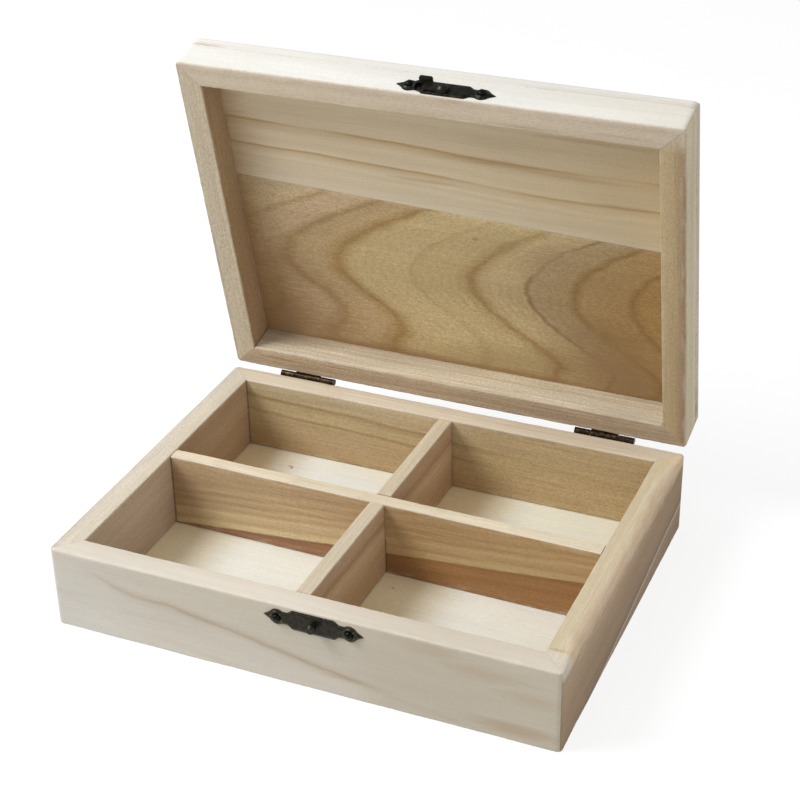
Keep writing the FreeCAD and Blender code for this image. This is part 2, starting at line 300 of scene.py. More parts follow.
# Wood's layers of texture: rates to the millimetre along X, Y and Z, detail and roughness of the noise
SWAY = ((0.010, 0.025, 0.025), 1.0)
RIPPLE = ((0.05, 0.16, 0.16), 3.0)
TEETH = ((0.12, 0.9, 0.9), 3.0, 0.6)
THREADS = ((0.03, 1.5, 1.5), 4.0, 0.6)
SPECKS = ((0.9, 2.1, 2.1), 2.0, 0.65)
CLOUDS = ((0.012, 0.05, 0.05), 3.0)
PORES = ((0.2, 2.4, 2.4), 2.0, 0.6)
RUBBED = ((0.12, 0.5, 0.5), 3.0)
PORE_LEVELS = (0.62, 0.76)
RUBBED_LEVELS = (0.45, 0.7)

# Late wood over one ring, the rates at which rings grow strong and weak, and the levels between
RING = [(0.0, 0.0), (0.45, 0.05), (0.8, 0.4), (0.94, 1.0), (1.0, 0.0)]
RING_ALONG = 0.004
RING_ACROSS = 0.35
RING_LEVELS = (-0.3, 0.4)

# Patches: share of the half size that is full, and how ragged their outline is
PATCH_FULL = 0.3
PATCH_RAGGED = 0.4

# How far sway and ripple carry the rim's colours across it, and the teeth of its tip
RIM_SWAY = 1.2
RIM_RIPPLE = 0.7
TIP_TEETH = 0.8

BARK = (0.34, 0.21, 0.11)
SCUFF = (0.90, 0.85, 0.74)
SCUFF_SHARE = 0.25
# Painted shade in the joints between boards, where the corners lie in shadow: its colour and share
JOINT_SHADE = (0.10, 0.065, 0.04)
JOINT_SHADE_SHARE = 0.5

# Specks where the clouds are dark and pale, and the surface: relief by layer, bump, roughness and sheen
NAP_LEVELS = (-0.4, 0.4, 0.7, 1.3)
RELIEF_THREADS = 0.4
RELIEF_SPECKS = 0.5
RELIEF_PORES = -0.6
WOOD_BUMP = (0.4, 0.1 * MM)
WOOD_ROUGH = 0.72
ROUGH_THREADS = -0.1
WOOD_SPECULAR = 0.25


class Wood(Nodes):
    """Node tree of sawn wood, with its layers of texture at hand in the board's own frame."""

    def __init__(self, name, seed):
        super().__init__(name)
        self.place, self.shifted = self.millimetres(seed)
        self.x, self.y, self.z = self.split(self.place)
        self.sway, self.ripple, self.teeth, self.threads, self.specks, self.clouds = (
            self.swing(self.shifted, *layer) for layer in (SWAY, RIPPLE, TEETH, THREADS, SPECKS, CLOUDS))
        self.pore = self.span(self.noise(self.shifted, *PORES), *PORE_LEVELS)

    def near(self, middle, halves):
        """Share of a patch: full about its middle, gone at its half sizes."""
        away = self.vector("DIVIDE", self.vector("SUBTRACT", self.place, middle), halves)
        ragged = self.math("MULTIPLY_ADD", self.teeth, PATCH_RAGGED, self.vector("LENGTH", away))
        return self.span(ragged, 1.0, PATCH_FULL)

    def field(self, across, wander, crook, comb, arch, bow):
        """The field in millimetres whose level lines are the lines of the wood."""
        field = self.vector("DOT_PRODUCT", self.place, across)
        for layer, strength in ((self.sway, wander), (self.ripple, crook), (self.teeth, comb)):
            field = self.math("MULTIPLY_ADD", layer, strength, field)
        if arch:
            reach, shares, drift, limit = arch
            lean = self.math("MULTIPLY", self.math("MINIMUM", self.x, limit), self.span(self.y, *drift))
            aside = self.math("MULTIPLY", self.bands(self.y, shares, "CARDINAL"), reach)
            field = self.math("SUBTRACT", field, self.math("MULTIPLY_ADD", aside, lean, aside))
        if bow:
            reach, shares = bow
            field = self.math("MULTIPLY_ADD", self.bands(self.x, shares, "B_SPLINE"), reach, field)
        return field

    def figure(self, field, bands, faint, ends, tints):
        """Colours over the field, with its faint patches and its tints."""
        colour = self.bands(field, bands)
        if faint:
            pale, patches = faint
            fading = 0.0
            for patch in patches:
                fading = self.math("MAXIMUM", fading, self.near(*patch))
            colour = self.mix(fading, colour, self.bands(field, pale))
        for low, high, tint, share in ends:
            colour = self.mix(self.span(self.x, low, high, 0.0, share), colour, tint)
        for middle, halves, tint, share in tints:
            colour = self.mix(self.math("MULTIPLY", self.near(middle, halves), share), colour, tint)
        return colour

    def rimmed(self, colour, rim, tip):
        """The colour, gone over to the rim's along Z."""
        edge, stops = rim
        over = self.math("MULTIPLY_ADD", self.sway, RIM_SWAY, self.y)
        over = self.math("MULTIPLY_ADD", self.ripple, RIM_RIPPLE, over)
        rim_colour = self.bands(over, stops)
        if tip:
            low, high, tip_colour, share = tip
            along = self.math("MULTIPLY_ADD", self.teeth, TIP_TEETH, self.x)
            rim_colour = self.mix(self.span(along, low, high, 0.0, share), rim_colour, tip_colour)
        return self.mix(self.span(self.z, *edge), colour, rim_colour)

    def tone(self, fibre, nap, cloud):
        """Factor about one: threads, specks that are stronger in some places, and clouds."""
        tone = self.math("MULTIPLY_ADD", self.threads, fibre, 1.0)
        nap = self.math("MULTIPLY", self.span(self.clouds, *NAP_LEVELS), nap)
        tone = self.math("MULTIPLY_ADD", self.specks, nap, tone)
        return self.math("MULTIPLY_ADD", self.clouds, cloud, tone)

    def dark(self, field, spacing, rings, pores, spots):
        """Share of the dark colour: late wood, pores and spots, some spots being painted shade."""
        ring = self.bands(self.math("FRACT", self.math("DIVIDE", field, spacing)), RING)
        rates = (RING_ALONG, RING_ACROSS / spacing, RING_ACROSS / spacing)
        ring = self.math("MULTIPLY", ring, self.span(self.swing(self.shifted, rates, 1.0), *RING_LEVELS))
        dark = self.math("MULTIPLY", ring, rings)
        dark = self.math("MULTIPLY_ADD", self.pore, pores, dark, clamp=True)
        for middle, halves, share in spots:
            dark = self.math("MAXIMUM", dark, self.math("MULTIPLY", self.near(middle, halves), share))
        return dark

    def joint_shade_and_rubbing(self, colour):
        """The colour with painted shade in the joints and pale rubbed edges."""
        colour = self.mix(self.math("MULTIPLY", self.mark("seam"), JOINT_SHADE_SHARE), colour, JOINT_SHADE)
        rubbed = self.span(self.noise(self.shifted, *RUBBED), *RUBBED_LEVELS, 0.0, SCUFF_SHARE)
        return self.mix(self.math("MULTIPLY", self.mark("edge_wear"), rubbed), colour, SCUFF)

    def surface(self, colour):
        relief = self.math("MULTIPLY", self.specks, RELIEF_SPECKS)
        relief = self.math("MULTIPLY_ADD", self.threads, RELIEF_THREADS, relief)
        relief = self.math("MULTIPLY_ADD", self.pore, RELIEF_PORES, relief)
        rough = self.math("MULTIPLY_ADD", self.threads, ROUGH_THREADS, WOOD_ROUGH)
        inputs = {"Base Color": colour, "Roughness": rough, "Specular IOR Level": WOOD_SPECULAR,
                  "Normal": self.bump(relief, *WOOD_BUMP)}
        self.show(self.put("ShaderNodeBsdfPrincipled", inputs))


def wood(name, seed, across, wander, crook, spacing, rings, fibre, nap, bands, line=BARK, faint=None,
         arch=None, bow=None, rim=None, tip=None, ends=(), tints=(), spots=(), comb=0.3, rim_nap=0.5,
         pores=0.15, cloud=0.12):
    """Sawn wood, coloured by a field in millimetres over the board's own frame.

    across is the field's slope along X, Y and Z, and bands are its colours, as pairs of field and colour;
    faint are its colours where the figure fades (on the base, a painted warm shade), and the middles and
    half sizes of those patches.
    wander, crook and comb shift the field in long, short and shortest waves, in millimetres.
    arch bends it into arches that point along -X: a reach, its shares over Y, the drift of that along X, as
    a span over Y, and the place along X where the drift ends. bow lifts it along X: a reach and its shares.
    rim is a stretch of Z over which the colours go over to ones given across Y; tip is a stretch of X over
    which the rim's go over to one colour by a share, and ends are such stretches of the whole board.
    tints are patches, each with its middle, half sizes, colour and share, and spots are patches of the
    colour of the lines, some of them painted shade. The rest are strengths of the wood's texture.
    """
    n = Wood(name, seed)
    field = n.field(across, wander, crook, comb, arch, bow)
    colour = n.figure(field, bands, faint, ends, tints)
    if rim:
        colour = n.rimmed(colour, rim, tip)
        nap = n.span(n.z, *rim[0], nap, nap * rim_nap)
    colour = n.scale(colour, n.tone(fibre, nap, cloud))
    colour = n.mix(n.dark(field, spacing, rings, pores, spots), colour, line)
    n.surface(n.joint_shade_and_rubbing(colour))
    return n.material


# Bronze's layers of texture, as the wood's, with the levels between which each shows
PATINA = ((0.6, 0.6, 0.6), 3.0)
PATINA_LEVELS = (0.45, 0.8, 0.0, 0.3)
PATCHY = ((0.9, 0.9, 0.9), 2.0)
PATCHY_LEVELS = (0.4, 0.65)
GRIT = ((4.0, 4.0, 4.0), 3.0, 0.6)
GRIT_ROUGH = 0.3
METAL = 0.7
METAL_SPECULAR = 0.3
METAL_BUMP = (0.2, 0.05 * MM)
PLATE_ROUGH = 0.42
BRIGHT_ROUGH = 0.36


def bronze(name, dark, worn, seed, rough=PLATE_ROUGH):
    """Antiqued bronze: blackened metal that is rubbed brighter in patches and along its edges."""
    n = Nodes(name)
    _, shifted = n.millimetres(seed)
    patina = n.span(n.noise(shifted, *PATINA), *PATINA_LEVELS)
    patchy = n.span(n.noise(shifted, *PATCHY), *PATCHY_LEVELS)
    rubbed = n.math("MULTIPLY", n.mark("edge_wear"), patchy)
    grit = n.noise(shifted, *GRIT)
    colour = n.mix(n.math("MAXIMUM", patina, rubbed), dark, worn)
    dull = n.math("MULTIPLY_ADD", grit, GRIT_ROUGH, rough - GRIT_ROUGH / 2)
    inputs = {"Base Color": colour, "Metallic": METAL, "Roughness": dull,
              "Specular IOR Level": METAL_SPECULAR, "Normal": n.bump(grit, *METAL_BUMP)}
    n.show(n.put("ShaderNodeBsdfPrincipled", inputs))
    return n.material


# Looks of the boards, each in its own frame: walls have X along them, Y inwards from the outer face, Z up

BOX_RIM = (HEIGHT - 0.9, HEIGHT - 0.2)
RIGHT_RIM = (HEIGHT - 5.0, HEIGHT - 2.2)
LID_MOUTH = (LID_RIM + 0.9, LID_RIM + 0.2)
DIVIDER_RIM = (DIVIDER_TOP - 0.6, DIVIDER_TOP - 0.15)
PALE_END = (97.0, 98.6, (.72, .66, .58), 1.0)
# SHADED_END is a painted shadow of the lid's left wall, darkening the left end of the lid's panel
SHADED_END = ((-94, 0, 0), (15, 160, 2.5), 0.6)

WALL_LOOKS = {
    "box_front": dict(
        seed=1, across=(0.19, 0.25, 1.0), bow=(6.0, [(-100, 0), (-86, 0), (-68, 1), (-52, 0.1), (100, 0)]),
        wander=3.0, crook=1.5, comb=0.6, spacing=5.5, rings=0.04, fibre=0.08, nap=0.12, pores=0.05,
        cloud=0.14, line=(.50, .35, .21),
        bands=[(-20, (.74, .69, .60)), (-6, (.76, .71, .62)), (-4, (.73, .66, .56)),
               (-1.5, (.75, .70, .60)), (9, (.735, .675, .575)), (11.5, (.68, .61, .50)),
               (12.9, (.555, .455, .34)), (14.4, (.67, .59, .475)), (16, (.71, .64, .535)),
               (22, (.70, .635, .525)), (31, (.69, .62, .50)), (55, (.72, .64, .52))],
        faint=([(-20, (.74, .69, .60)), (0, (.75, .70, .61)), (12, (.70, .63, .52)), (55, (.71, .64, .53))],
               [((-94, 0, 30), (22, 6, 14))]),
        ends=[(20, 34, (.675, .60, .48), 0.8), (-52, -80, (.80, .77, .70), 0.35)],
        spots=[((84, 0, 5.2), (22, 3, 3.6), 0.5), ((52, 0, 30.5), (20, 3, 4.0), 0.25),
               ((72, 0, 26), (22, 3, 4.0), 0.3), ((90, 0, 19.5), (18, 3, 4.0), 0.28),
               ((20, 0, 8.6), (16, 3, 1.6), 0.25), ((62, 5, HEIGHT), (70, 14, 4), 0.14)],
        rim=(BOX_RIM, [(0, (.76, .70, .60)), (4, (.78, .72, .62)), (9.7, (.74, .66, .55))])),
    "box_right": dict(
        seed=2, across=(-0.11, 0.0, 1.0), wander=0.8, crook=0.5, spacing=3.5, rings=0.12, fibre=0.22,
        nap=0.25, line=(.34, .23, .15),
        bands=[(-10, (.38, .265, .185)), (1.6, (.43, .31, .215)), (3.1, (.47, .345, .24)),
               (3.9, (.62, .50, .375)), (4.8, (.56, .44, .315)), (5.4, (.25, .165, .105)),
               (7.2, (.36, .255, .165)), (13, (.42, .295, .185)), (21, (.45, .31, .19)),
               (26, (.50, .355, .22)), (32, (.56, .41, .265)), (43, (.64, .49, .33))],
        ends=[(-5, -45, (.40, .285, .195), 0.35)],
        spots=[((-63.3, 5.8, HEIGHT), (0.9, 4.5, 2), 0.4)],
        rim=(RIGHT_RIM,
             [(0, (.82, .61, .40)), (4, (.745, .615, .43)), (7, (.70, .60, .41)), (9.7, (.68, .57, .39))]),
        tip=(-63.0, -66.0, (.77, .70, .585), 0.85)),
    "box_back": dict(
        seed=3, across=(-0.06, 0.0, 1.0), wander=3.5, crook=1.0, comb=0.6, spacing=3.4, rings=0.14,
        fibre=0.34, nap=0.42, rim_nap=0.4, pores=0.35, cloud=0.15,
        bands=[(0, (.47, .325, .17)), (10, (.54, .40, .225)), (15.5, (.55, .41, .23)),
               (16.3, (.43, .31, .16)), (17.5, (.57, .44, .24)), (20, (.58, .455, .26)),
               (22, (.52, .395, .21)), (23, (.41, .295, .155)), (24.2, (.57, .445, .26)),
               (30, (.59, .475, .295)), (36, (.59, .475, .285))], ends=[(0, -25, (.52, .378, .195), 0.75)],
        spots=[((-52, 5, HEIGHT), (75, 14, 4), 0.2)],
        rim=(BOX_RIM, [(0, (.69, .58, .45)), (3, (.78, .69, .54)), (9.7, (.81, .72, .565))])),
    "box_left": dict(
        seed=4, across=(0.03, 0.3, 1.0), wander=1.5, crook=0.6, spacing=6.0, rings=0.15, fibre=0.24,
        nap=0.32, rim_nap=0.8, pores=0.2, cloud=0.22, line=(.34, .24, .16),
        bands=[(0, (.425, .295, .178)), (12, (.455, .32, .20)), (18, (.425, .29, .178)),
               (24, (.465, .335, .215)), (31, (.435, .305, .188)), (38, (.455, .32, .20))],
        ends=[(-12, 12, (.57, .455, .36), 0.7)],
        rim=(BOX_RIM,
             [(0, (.60, .54, .45)), (1.5, (.70, .635, .53)), (4, (.74, .67, .55)),
              (9.7, (.72, .64, .505))])),
    "lid_front": dict(
        seed=5, across=(0.02, 0.6, 1.0), wander=1.0, crook=0.4, spacing=4.0, rings=0.05, fibre=0.07,
        nap=0.10, rim_nap=2.5, pores=0.06, line=(.50, .38, .25),
        bands=[(32, (.86, .85, .79)), (40, (.88, .87, .82)), (45, (.84, .82, .75)), (50, (.85, .83, .77))],
        ends=[(30, 90, (.87, .82, .70), 0.6)],
        spots=[((40, 8.3, LID_RIM), (20, 0.8, 3), 0.4), ((76, 6.6, LID_RIM), (16, 0.8, 3), 0.4),
               ((12, 1.4, LID_RIM), (9, 1.0, 0.7), 0.3)],
        rim=(LID_MOUTH,
             [(0, (.70, .61, .49)), (2.5, (.64, .53, .40)), (5, (.70, .595, .455)),
              (9.7, (.66, .545, .40))])),
    "lid_right": dict(
        seed=6, across=(0.01, 0.5, 1.0), wander=1.0, crook=0.4, spacing=4.0, rings=0.2, fibre=0.2, nap=0.3,
        rim_nap=1.4, line=(.42, .31, .20),
        bands=[(33, (.76, .655, .445)), (38, (.80, .70, .49)), (42, (.72, .61, .415)),
               (46, (.80, .70, .505)), (53, (.70, .59, .405))],
        rim=(LID_MOUTH,
             [(0, (.70, .56, .40)), (1.0, (.44, .29, .175)), (2.4, (.49, .35, .205)),
              (4.5, (.56, .42, .24)), (9.7, (.61, .475, .28))]),
        tip=(-64.5, -69.0, (.665, .55, .41), 0.85)),
    "lid_back": dict(
        seed=7, across=(0.01, 0.5, 1.0), wander=0.8, crook=0.4, spacing=2.5, rings=0.3, fibre=0.55,
        nap=0.45, rim_nap=1.2, pores=0.35, cloud=0.25, line=(.30, .20, .12),
        bands=[(33, (.60, .51, .37)), (39, (.65, .57, .435)), (45, (.64, .555, .42)),
               (47.5, (.57, .475, .335)), (49, (.62, .53, .385)), (53, (.55, .45, .31))],
        spots=[((78, 5.9, LID_RIM), (15, 0.6, 3), 0.6), ((50, 7.2, LID_RIM), (17, 0.6, 3), 0.6),
               ((70, 2.6, LID_RIM), (18, 0.5, 3), 0.4), ((-45, 7.0, LID_RIM), (13, 0.6, 3), 0.5),
               ((-72, 8.6, LID_RIM), (18, 0.6, 3), 0.5), ((88, WALL, PANEL_UNDER), (48, 3, 9), 0.4)],
        rim=(LID_MOUTH,
             [(0, (.50, .39, .28)), (2, (.55, .43, .30)), (4, (.49, .37, .25)), (6, (.56, .43, .29)),
              (9.7, (.55, .435, .30))])),
    "lid_left": dict(
        seed=8, across=(0.01, 0.5, 1.0), wander=0.8, crook=0.4, spacing=3.5, rings=0.12, fibre=0.22,
        nap=0.45, rim_nap=1.0, pores=0.3,
        # The inner face's bands are the wood's colour with painted shade in them, for the shadow on the
        # lid's left wall
        bands=[(33, (.41, .29, .175)), (40, (.38, .26, .15)), (45, (.40, .28, .165)),
               (53, (.38, .26, .15))],
        rim=(LID_MOUTH,
             [(0, (.46, .385, .295)), (0.9, (.52, .44, .335)), (2.2, (.645, .55, .41)),
              (6, (.625, .53, .39)), (9.7, (.66, .56, .405))])),
}

LONG_LOOKS = dict(
    seed=11, across=(-0.093, 0.0, 1.0), wander=1.0, crook=0.7, spacing=2.9, rings=0.14, fibre=0.3, nap=0.3,
    pores=0.25, cloud=0.2, line=(.23, .12, .06),
    bands=[(-8, (.28, .15, .085)), (2, (.335, .178, .10)), (5, (.28, .142, .08)), (7, (.365, .195, .107)),
           (9.5, (.325, .17, .095)), (10.9, (.28, .145, .075)), (11.5, (.68, .53, .31)),
           (13.4, (.70, .55, .325)), (14.8, (.55, .40, .225)), (16.5, (.62, .47, .28)),
           (18.5, (.68, .525, .32)), (20, (.52, .37, .21)), (22, (.60, .45, .265)), (23.4, (.49, .34, .19)),
           (25.5, (.58, .43, .25)), (27, (.48, .335, .19)), (29, (.58, .425, .25)), (31, (.49, .345, .20)),
           (42, (.55, .40, .235))], ends=[(-15, 15, (.42, .22, .045), 0.38)],
    # The spots at x 6 and x -93 are darker wood with painted shade, beside the cross divider and the left
    # wall
    spots=[((6, -3, 7), (17, 3, 9), 0.5), ((-62, -3, 3.5), (30, 3, 1.6), 0.35),
           ((-93, -1.5, 20), (30, 4, 26), 0.36)],
    rim=(DIVIDER_RIM, [(-3, (.80, .71, .54)), (0, (.82, .73, .56)), (5, (.78, .68, .50))]))

CROSS_LOOKS = dict(
    seed=12, across=(0.02, 0.2, 1.0), wander=1.2, crook=0.6, spacing=3.2, rings=0.15, fibre=0.26, nap=0.3,
    pores=0.2, line=(.36, .22, .13),
    bands=[(0, (.48, .32, .19)), (12, (.50, .335, .20)), (18, (.55, .39, .24)), (21, (.58, .42, .265)),
           (23, (.52, .345, .212)), (25, (.41, .26, .158)), (27, (.49, .335, .21)), (35, (.53, .37, .24))],
    rim=(DIVIDER_RIM, [(-4, (.66, .565, .42)), (0, (.70, .61, .46)), (4, (.66, .565, .42))]))

BASE_LOOKS = dict(
    seed=13, across=(0.2, 1.0, 0.2), wander=6.0, crook=2.0, spacing=9.0, rings=0.03, fibre=0.10, nap=0.14,
    pores=0.06, cloud=0.08, line=(.45, .33, .20),
    bands=[(-80, (.91, .92, .87)), (-30, (.93, .94, .87)), (0, (.94, .93, .83)), (30, (.95, .97, .95)),
           (45, (.95, .97, .93)), (58, (.94, .94, .82)), (85, (.93, .91, .76))],
    # The faint colours, in patches along the left side of each compartment, are a painted warm shade where
    # the walls' shadows fall
    faint=([(-80, (.93, .82, .56)), (0, (.93, .82, .56)), (20, (.93, .79, .52)), (85, (.93, .78, .50))],
           [((-92, 0, BASE), (36, 400, 3)), ((7, 0, BASE), (30, 400, 3))]),
    spots=[((-65.7, 54.8, BASE), (1.3, 0.9, 1), 0.8), ((-64.7, 53.8, BASE), (0.9, 1.2, 1), 0.8),
           ((10, -10.5, BASE), (0.9, 0.6, 1), 0.7)])

FRONT_LOOKS = dict(
    seed=14, across=(-0.035, 1.0, 0.0), bow=(2.6, [(-100, 0), (50, 0), (75, 0.4), (100, 1)]), wander=2.0,
    crook=0.6, comb=0.35, spacing=4.2, rings=0.06, fibre=0.12, nap=0.16, pores=0.12, line=(.46, .31, .16),
    # The paler bands from -66 to -48, under the lid's front wall, are painted light that lifts that wall's
    # shadow
    bands=[(-78, (.83, .81, .76)), (-69, (.83, .80, .74)), (-66, (.80, .685, .50)), (-60, (.84, .72, .52)),
           (-56, (.80, .67, .47)), (-54, (.84, .715, .515)), (-50, (.79, .66, .46)), (-48, (.80, .67, .47)),
           (-41.9, (.77, .64, .445)), (-41.1, (.50, .33, .145)), (-40.2, (.63, .48, .29)),
           (-38.4, (.71, .575, .385)), (-36, (.76, .635, .44)), (-33, (.73, .60, .41)),
           (-29.9, (.77, .65, .46)), (-29.2, (.51, .34, .155)), (-28.4, (.65, .51, .32)),
           (-26.4, (.74, .61, .42)), (-25, (.78, .66, .47)), (-23.4, (.71, .585, .39)),
           (-22, (.76, .645, .46)), (-18, (.74, .625, .445)), (-14, (.78, .68, .51)),
           (0, (.77, .665, .49))],
    faint=([(-78, (.83, .81, .76)), (-69, (.83, .80, .74)), (-66, (.74, .62, .435)),
            (-42, (.76, .63, .435)), (-41.1, (.64, .49, .30)), (-40, (.71, .57, .38)),
            (-30, (.75, .625, .435)), (-29.2, (.64, .50, .31)), (-28, (.73, .60, .41)),
            (0, (.76, .65, .47))],
           [((-55, -44, 0), (22, 5, 9)), ((70, -41, 0), (26, 6, 9)), ((20, -29, 0), (20, 5, 9))]),
    ends=[PALE_END], tints=[((95, -38, 0), (95, 70, 4), (.62, .47, .25), 0.4)],
    spots=[SHADED_END, ((20, -39.6, 0), (30, 2.2, 6), 0.45), ((50, -37.8, 0), (26, 1.5, 6), 0.3),
           ((-8, -26.2, 0), (20, 1.1, 6), 0.4), ((62, -54.5, 0), (30, 1.5, 6), 0.28),
           ((74, -27.7, 0), (20, 1.6, 6), 0.4)])

ARCH = (45.0,
        [(-14, .95), (-12, .86), (-4, .52), (2, .31), (10, .10), (16, .02), (21, 0.0), (27, .045),
         (35, .21), (42, .41), (48, .555), (53, .61), (58, .60), (63, .57), (67, .53)],
        (40, 57, -0.0035, 0.007), 40.0)

REAR_LOOKS = dict(
    seed=15, across=(1.0, 0.0, 0.0), arch=ARCH, wander=3.0, crook=2.2, comb=1.7, spacing=4.1, rings=0.4,
    fibre=0.16, nap=0.5, pores=0.3, cloud=0.22, line=(.33, .19, .08),
    bands=[(-125, (.61, .475, .29)), (-107, (.66, .515, .305)), (-102, (.51, .36, .185)),
           (-97, (.63, .47, .295)), (-80, (.60, .445, .27)), (-73, (.415, .275, .13)),
           (-69, (.52, .37, .20)), (-58, (.56, .41, .225)), (-53, (.50, .345, .165)),
           (-49, (.405, .26, .10)), (-46, (.53, .38, .18)), (-42, (.63, .485, .255)),
           (-20, (.66, .52, .28)), (-16, (.58, .44, .225)), (-13, (.64, .50, .265)), (2, (.60, .465, .24)),
           (6, (.53, .385, .185)), (9, (.415, .275, .12)), (11.5, (.55, .41, .21)), (16, (.63, .495, .27)),
           (29.5, (.57, .43, .235)), (31.6, (.33, .21, .095)), (33.2, (.48, .355, .20)),
           (47.5, (.46, .325, .165)), (50.8, (.345, .21, .08)), (53.5, (.46, .31, .145)),
           (71, (.45, .295, .13)), (74, (.34, .205, .075)), (77, (.44, .28, .11)), (112, (.42, .255, .09))],
    faint=([(-125, (.50, .37, .225)), (-100, (.53, .38, .22)), (-70, (.52, .37, .20)),
            (-56, (.53, .385, .20)), (-49, (.42, .275, .115)), (-42, (.62, .48, .25)),
            (-16, (.62, .48, .25)), (4, (.60, .465, .24)), (9, (.47, .33, .155)), (16, (.63, .495, .27)),
            (30, (.48, .35, .19)), (46, (.46, .325, .165)), (52, (.39, .25, .105)), (60, (.44, .285, .12)),
            (112, (.41, .24, .08))],
           [((34, -3, 0), (24, 19, 9)), ((-88, 22, 0), (16, 26, 9)), ((66, 42, 0), (16, 26, 9))]),
    ends=[PALE_END],
    # SHADED_END and the wide patches reaching y 66 are painted shade: along the foot of the lid's back
    # wall, darkest in its left corner
    spots=[SHADED_END, ((11.7, -2.0, 0.0), (1.6, 0.9, 1.5), 0.6), ((48.3, 22.5, 0.0), (0.6, 0.6, 1), 0.8),
           ((56, 38, 0.0), (6, 8, 6), 0.3), ((0, 66, 0), (400, 6, 3), 0.8),
           ((-92, 58, 0), (54, 52, 3), 0.8), ((66, 56, 0), (44, 28, 3), 0.62),
           ((15, 64, 0), (40, 16, 3), 0.35)])


# Boards


def fade(value, low, high):
    """Smooth step from nought at low to one at high."""
    share = min(max((value - low) / (high - low), 0.0), 1.0)
    return share * share * (3 - 2 * share)


def drop(from_end, radius):
    """How far a rounded edge has fallen at a distance from the end."""
    inside = max(0.0, radius - from_end)
    return radius - math.sqrt(max(0.0, radius * radius - inside * inside))


def add_object(name, data, matrix=IDENTITY):
    obj = bpy.data.objects.new(name, data)
    bpy.context.scene.collection.objects.link(obj)
    obj.matrix_world = matrix
    return obj


def add_solid(name, bm, matrix, sharp_deg):
    """Object of a closed mesh, smooth but for the edges sharper than an angle."""
    bmesh.ops.recalc_face_normals(bm, faces=bm.faces)
    mesh = bpy.data.meshes.new(name)
    bm.to_mesh(mesh)
    bm.free()
    mesh.shade_smooth()
    mesh.set_sharp_from_angle(angle=math.radians(sharp_deg))
    return add_object(name, mesh, matrix)


def settle(obj, body, node, material):
    """Finishes a piece: it rides on its body and stands for its node."""
    obj.data.materials.append(material)
    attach(obj, body)
    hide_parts(node)


def rounded_section(corners, radii):
    """Closed outline through corners eased by their radii: its points, and how near an edge each is."""
    points = []
    count = len(corners)
    for i in range(count):
        before, here, after = (Vector(corners[(i + k) % count]) for k in (-1, 0, 1))
        radius = radii[i]
        inward = (before - here).normalized()
        onward = (after - here).normalized()
        for k in range(ARC_STEPS + 1):
            share = k / ARC_STEPS
            a = here + inward * radius * (1 - share)
            b = here + onward * radius * share
            points.append((a.lerp(b, share), 1.0))
        start = here + onward * radius
        end = after - onward * radii[(i + 1) % count]
        for k in range(1, RUN_STEPS):
            share = 0.5 - 0.5 * math.cos(math.pi * k / RUN_STEPS)
            point = start.lerp(end, share)
            near = min((point - start).length, (point - end).length)
            points.append((point, 1.0 - fade(near, WEAR_FROM, WEAR_TO)))
    return points


def loft(name, rings, matrix, **marks):
    """Closed solid through rings of points, capped at both ends; marks are shares kept on the points."""
    bm = bmesh.new()
    rows = [[bm.verts.new(point * MM) for point in ring] for ring in rings]
    count = len(rings[0])
    for one, two in zip(rows, rows[1:]):
        for j in range(count):
            k = (j + 1) % count
            bm.faces.new((one[j], one[k], two[k], two[j]))
    bm.faces.new(list(reversed(rows[0])))
    bm.faces.new(rows[-1])
    obj = add_solid(name, bm, matrix, SHARP_DEG)
    for mark, shares in marks.items():
        layer = obj.data.attributes.new(mark, "FLOAT", "POINT")
        layer.data.foreach_set("value", [share for row in shares for share in row])
    return obj


def chip(point, seed, near, deep):
    """How far an edge is torn in at a point, in millimetres: long waves and short teeth."""
    if near <= 0:
        return 0.0
    waves = noise.noise(Vector((point.x * WAVE_RATE[0], seed * WAVE_SEED, point.z * WAVE_RATE[1])))
    teeth = noise.noise(Vector((point.x * TOOTH_RATE[0], point.y * TOOTH_RATE[1] + seed,
                                point.z * TOOTH_RATE[2])))
    even, long, short = TORN_MIX
    return near * deep * max(0.0, even + long * waves + short * teeth)


def torn_ring(corners, radii, set_out, seed, torn):
    """Points round a section, set out in space and torn in at the edges, and how near an edge each is."""
    middle = Vector((0, *(sum(values) / len(corners) for values in zip(*corners))))
    ring = []
    wear = []
    for flat, near in rounded_section(corners, radii):
        point = set_out(flat)
        inward = (middle - Vector((0, point.y, point.z))).normalized()
        ring.append(point + inward * chip(point, seed, near, torn))
        wear.append(near)
    return ring, wear


def columns(half, dense):
    """Places along a board, closer together over the dense stretch at both ends."""
    inside = half - dense
    count = max(2, round(2 * inside / COLUMN))
    ends = [half - dense * (1 - math.cos(math.pi / 2 * k / END_COLUMNS)) for k in range(END_COLUMNS)]
    middle = [-inside + 2 * inside * k / count for k in range(count + 1)]
    return [-x for x in ends] + middle + list(reversed(ends))


def upright(low, high, foot, top):
    """Corners of a board's section."""
    return [(low, foot), (low, top), (high, top), (high, foot)]


# Walls of the box and of the lid

BOX_SECTION = [(0, 0), (0, HEIGHT), (WALL, HEIGHT), (WALL, FOOT_AT), (WALL - RABBET, FOOT_AT),
               (WALL - RABBET, 0)]
LID_SECTION = [(0, LID_RIM), (0, PANEL_UNDER), (WALL, PANEL_UNDER), (WALL, LID_RIM)]


def wall_radii(key, share):
    """Radii of a wall's edges at a share of its half length from the middle."""
    if key.startswith("lid"):
        return [RIM_ROUND, HIDDEN_ROUND, HIDDEN_ROUND, INNER_ROUND]
    rim = RIM_ROUND
    if key == "box_right":
        rim += (RIGHT_RIM_ROUND - RIM_ROUND) * fade(1 - abs(share), 0.0, RIGHT_RIM_RUN)
    return [FOOT_ROUND, rim, INNER_ROUND, HIDDEN_ROUND, HIDDEN_ROUND, HIDDEN_ROUND]


